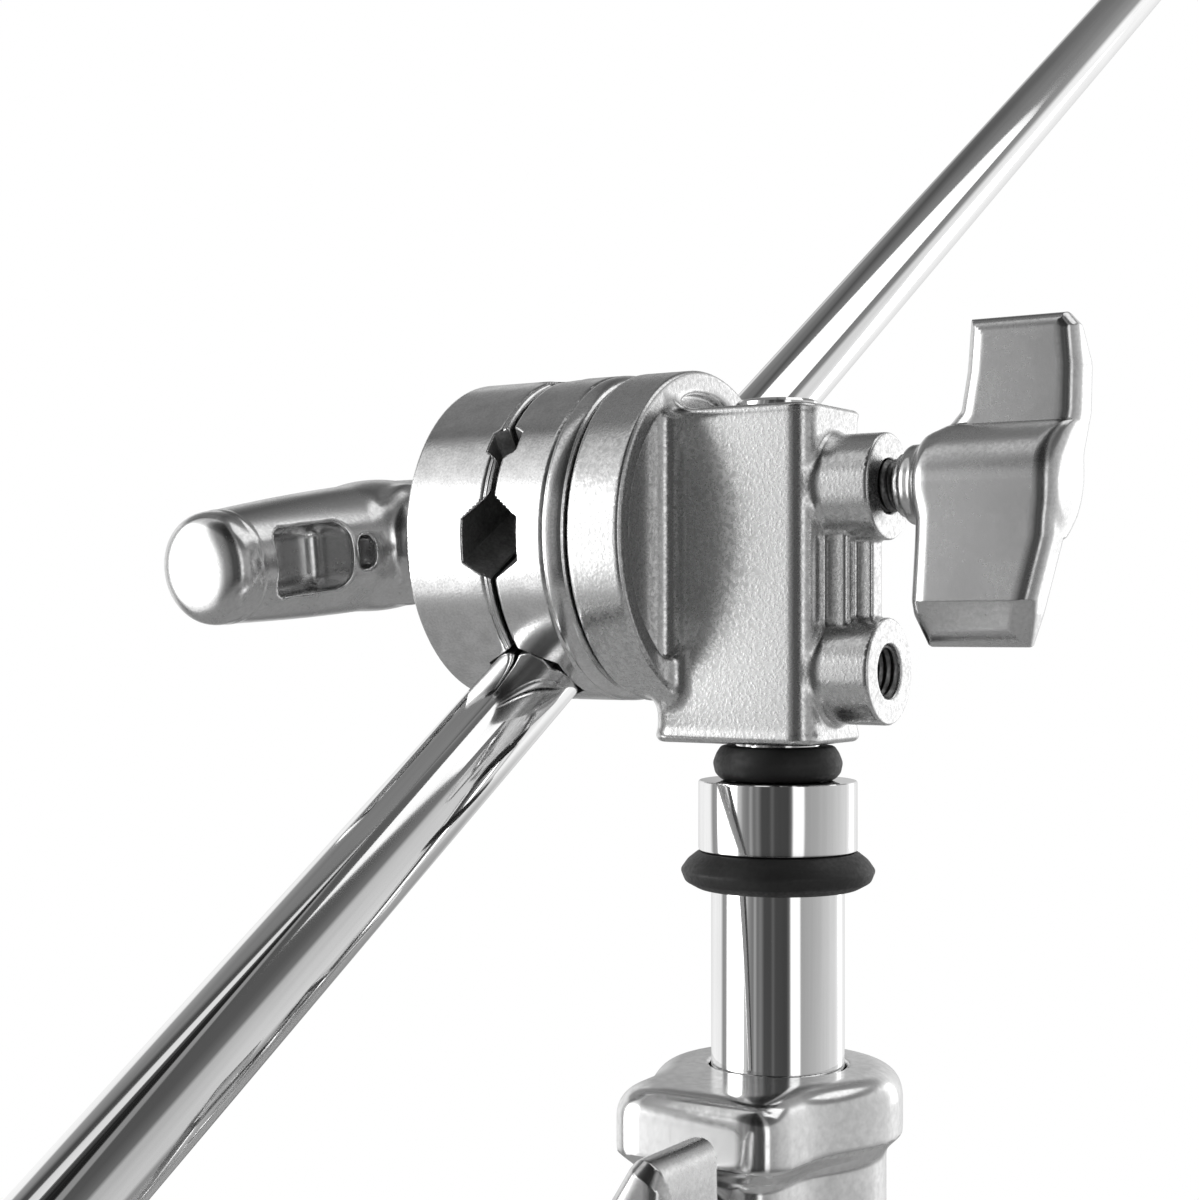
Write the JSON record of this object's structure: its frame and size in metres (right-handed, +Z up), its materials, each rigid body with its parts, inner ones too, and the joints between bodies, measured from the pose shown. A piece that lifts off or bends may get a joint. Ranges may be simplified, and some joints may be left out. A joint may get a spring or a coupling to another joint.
{
  "type": "c stand",
  "caption": "Folding C stand: staggered folding legs, column, sliding risers with T-handle locks, tilting grip head with clamping jaws, and a sliding extension arm with its own head.",
  "frame": {"origin": "on the floor, on the axis of the column", "axes": "+Z up along the column, +X the horizontal direction of the arm's raised end, +Y from the column towards the jaws"},
  "size_m": [0.9482, 0.8458, 1.8128],
  "materials": {
    "chrome_tube": "polished chrome plate",
    "polished_casting": "bright plated casting",
    "satin_casting": "tumbled satin die casting",
    "machined_aluminium": "fine turned face",
    "dark_steel": "dark steel, light oil",
    "zinc_steel": "zinc plated",
    "black_rubber": "matte black rubber",
    "nylon": "natural nylon",
    "brass": "plain brass"
  },
  "bodies": {
    "column": {"column_base_cap": "black_rubber", "leg_low_hub": "polished_casting", "leg_low_tube": "chrome_tube", "leg_low_foot": "black_rubber", "hub_washers": "nylon", "hub_stop_collar": "polished_casting", "column_tube": "chrome_tube", "column_casting": "polished_casting", "column_bush": "nylon"},
    "leg_mid": {"leg_mid_hub": "polished_casting", "leg_mid_tube": "chrome_tube", "leg_mid_foot": "black_rubber"},
    "leg_high": {"leg_high_hub": "polished_casting", "leg_high_tube": "chrome_tube", "leg_high_foot": "black_rubber"},
    "column_lock_pad": {"column_lock_pad": "nylon"},
    "column_lock": {"column_lock_screw": "dark_steel", "column_lock_handle": "satin_casting"},
    "riser_1": {"riser_1_tube": "chrome_tube", "riser_1_guide": "nylon", "riser_1_casting": "polished_casting", "riser_1_bush": "nylon"},
    "riser_1_lock_pad": {"riser_1_lock_pad": "nylon"},
    "riser_1_lock": {"riser_1_lock_screw": "dark_steel", "riser_1_lock_handle": "satin_casting"},
    "riser_2": {"riser_2_tube": "chrome_tube", "riser_2_guide": "nylon", "riser_2_collar": "chrome_tube", "stud": "chrome_tube", "ring_large": "black_rubber", "ring_small": "black_rubber"},
    "head": {"head_body": "satin_casting", "head_bolt": "dark_steel", "head_friction_washer": "brass"},
    "jaw_inner": {"head_inner_plate": "machined_aluminium", "head_spring": "dark_steel"},
    "jaw_outer": {"head_outer_plate": "machined_aluminium", "head_thrust_washer": "zinc_steel"},
    "jaw_clamp": {"head_clamp_handle": "satin_casting"},
    "receiver_pad": {"receiver_pad": "brass"},
    "receiver_lock": {"receiver_screw": "dark_steel", "receiver_handle": "satin_casting"},
    "arm": {"arm_tube": "chrome_tube", "arm_tail_cap": "black_rubber", "arm_head_body": "satin_casting", "arm_roll_pin": "dark_steel", "arm_head_bolt": "dark_steel", "arm_friction_washer": "brass"},
    "arm_jaw_inner": {"arm_inner_plate": "machined_aluminium", "arm_spring": "dark_steel"},
    "arm_jaw_outer": {"arm_outer_plate": "machined_aluminium", "arm_thrust_washer": "zinc_steel"},
    "arm_jaw_clamp": {"arm_clamp_handle": "satin_casting"}
  },
  "joints": [
    {"name": "leg_mid_fold", "type": "hinge", "parent": "column", "child": "leg_mid", "pos_m": [0, 0, 0.1444], "axis": [0, 0, 1], "range_deg": [0, 100]},
    {"name": "leg_high_fold", "type": "hinge", "parent": "column", "child": "leg_high", "pos_m": [0, 0, 0.1918], "axis": [0, 0, 1], "range_deg": [-100, 0]},
    {"name": "riser_1_slide", "type": "slide", "parent": "column", "child": "riser_1", "axis": [0, 0, 1], "range_m": [0, 0.9]},
    {"name": "riser_2_slide", "type": "slide", "parent": "riser_1", "child": "riser_2", "axis": [0, 0, 1], "range_m": [-0.032, 0.88]},
    {"name": "head_swivel", "type": "hinge", "parent": "riser_2", "child": "head", "pos_m": [0, 0, 1.364], "axis": [0, 0, 1], "continuous": true},
    {"name": "head_tilt", "type": "hinge", "parent": "head", "child": "jaw_inner", "pos_m": [0, 0.0442, 1.364], "axis": [0, 1, 0], "continuous": true},
    {"name": "jaw_open", "type": "slide", "parent": "jaw_inner", "child": "jaw_outer", "axis": [0, 1, 0], "range_m": [0, 0.00488]},
    {"name": "jaw_clamp_turn", "type": "hinge", "parent": "jaw_outer", "child": "jaw_clamp", "pos_m": [0, 0.09, 1.364], "axis": [0, 1, 0], "range_deg": [0, 1170]},
    {"name": "arm_slide", "type": "slide", "parent": "jaw_inner", "child": "arm", "axis": [0.8499, 0, 0.527], "range_m": [-0.55, 0.2]},
    {"name": "arm_head_tilt", "type": "hinge", "parent": "arm", "child": "arm_jaw_inner", "pos_m": [0.66386, 0.0834, 1.75832], "axis": [0, 1, 0], "continuous": true},
    {"name": "arm_jaw_open", "type": "slide", "parent": "arm_jaw_inner", "child": "arm_jaw_outer", "axis": [0, 1, 0], "range_m": [0, 0.00488]},
    {"name": "arm_jaw_clamp_turn", "type": "hinge", "parent": "arm_jaw_outer", "child": "arm_jaw_clamp", "pos_m": [0.66386, 0.1292, 1.75832], "axis": [0, 1, 0], "range_deg": [0, 1170]},
    {"name": "column_lock_travel", "type": "slide", "parent": "column", "child": "column_lock_pad", "axis": [-1, 0, 0], "range_m": [0, 0.00263]},
    {"name": "column_lock_turn", "type": "hinge", "parent": "column_lock_pad", "child": "column_lock", "pos_m": [-0.04, 0, 1.176], "axis": [-1, 0, 0], "range_deg": [0, 630]},
    {"name": "riser_1_lock_travel", "type": "slide", "parent": "riser_1", "child": "riser_1_lock_pad", "axis": [-1, 0, 0], "range_m": [0, 0.00263]},
    {"name": "riser_1_lock_turn", "type": "hinge", "parent": "riser_1_lock_pad", "child": "riser_1_lock", "pos_m": [-0.04, 0, 1.2388], "axis": [-1, 0, 0], "range_deg": [0, 630]},
    {"name": "receiver_lock_travel", "type": "slide", "parent": "head", "child": "receiver_pad", "axis": [0, -1, 0], "range_m": [0, 0.00263]},
    {"name": "receiver_lock_turn", "type": "hinge", "parent": "receiver_pad", "child": "receiver_lock", "pos_m": [0, -0.02, 1.3723], "axis": [0, -1, 0], "range_deg": [0, 630]}
  ],
  "couplings": [
    {"joint": "column_lock_travel", "follows": "column_lock_turn", "m_per_rad": 0.00023873},
    {"joint": "riser_1_lock_travel", "follows": "riser_1_lock_turn", "m_per_rad": 0.00023873},
    {"joint": "receiver_lock_travel", "follows": "receiver_lock_turn", "m_per_rad": 0.00023873},
    {"joint": "jaw_open", "follows": "jaw_clamp_turn", "m_per_rad": 0.00023873},
    {"joint": "arm_jaw_open", "follows": "arm_jaw_clamp_turn", "m_per_rad": 0.00023873}
  ]
}
